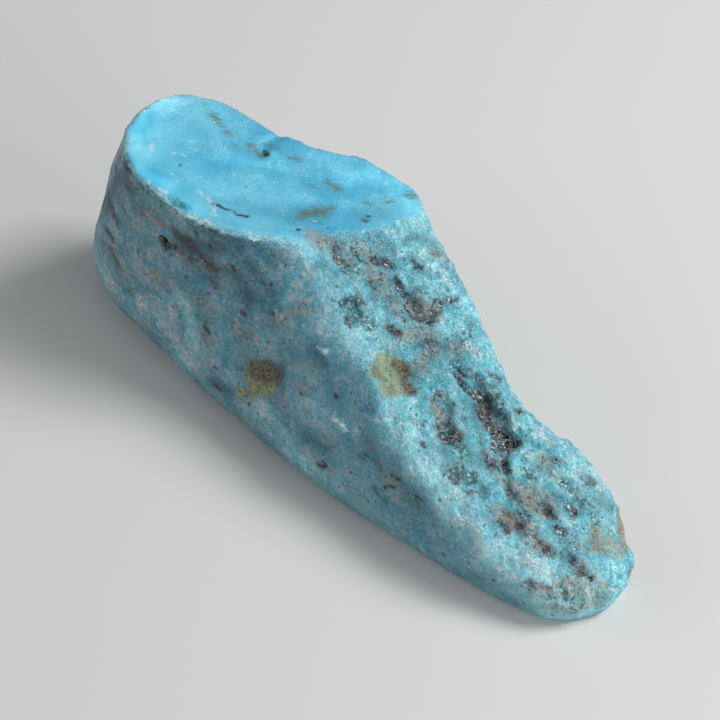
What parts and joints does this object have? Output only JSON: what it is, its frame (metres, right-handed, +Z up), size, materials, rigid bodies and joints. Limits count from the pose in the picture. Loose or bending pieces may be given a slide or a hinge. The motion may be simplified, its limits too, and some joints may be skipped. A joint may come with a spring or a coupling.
{
  "type": "raw turquoise nugget",
  "caption": "Raw turquoise nugget for display or cutting: boot-shaped, with a flat sawn top, one smooth side, a rough pitted slope and a flat underside to lie on.",
  "frame": {"origin": "on the flat underside, under the middle of the stone's bounding box", "axes": "+X along the length, from the tall heel to the low toe; +Y from the smooth side to the broken side; +Z up"},
  "size_m": [0.081, 0.0288, 0.028],
  "materials": {
    "turquoise": "natural, satin on the sawn top and matt with fine pitting elsewhere"
  },
  "bodies": {
    "root": {"nugget": "turquoise"}
  },
  "joints": []
}
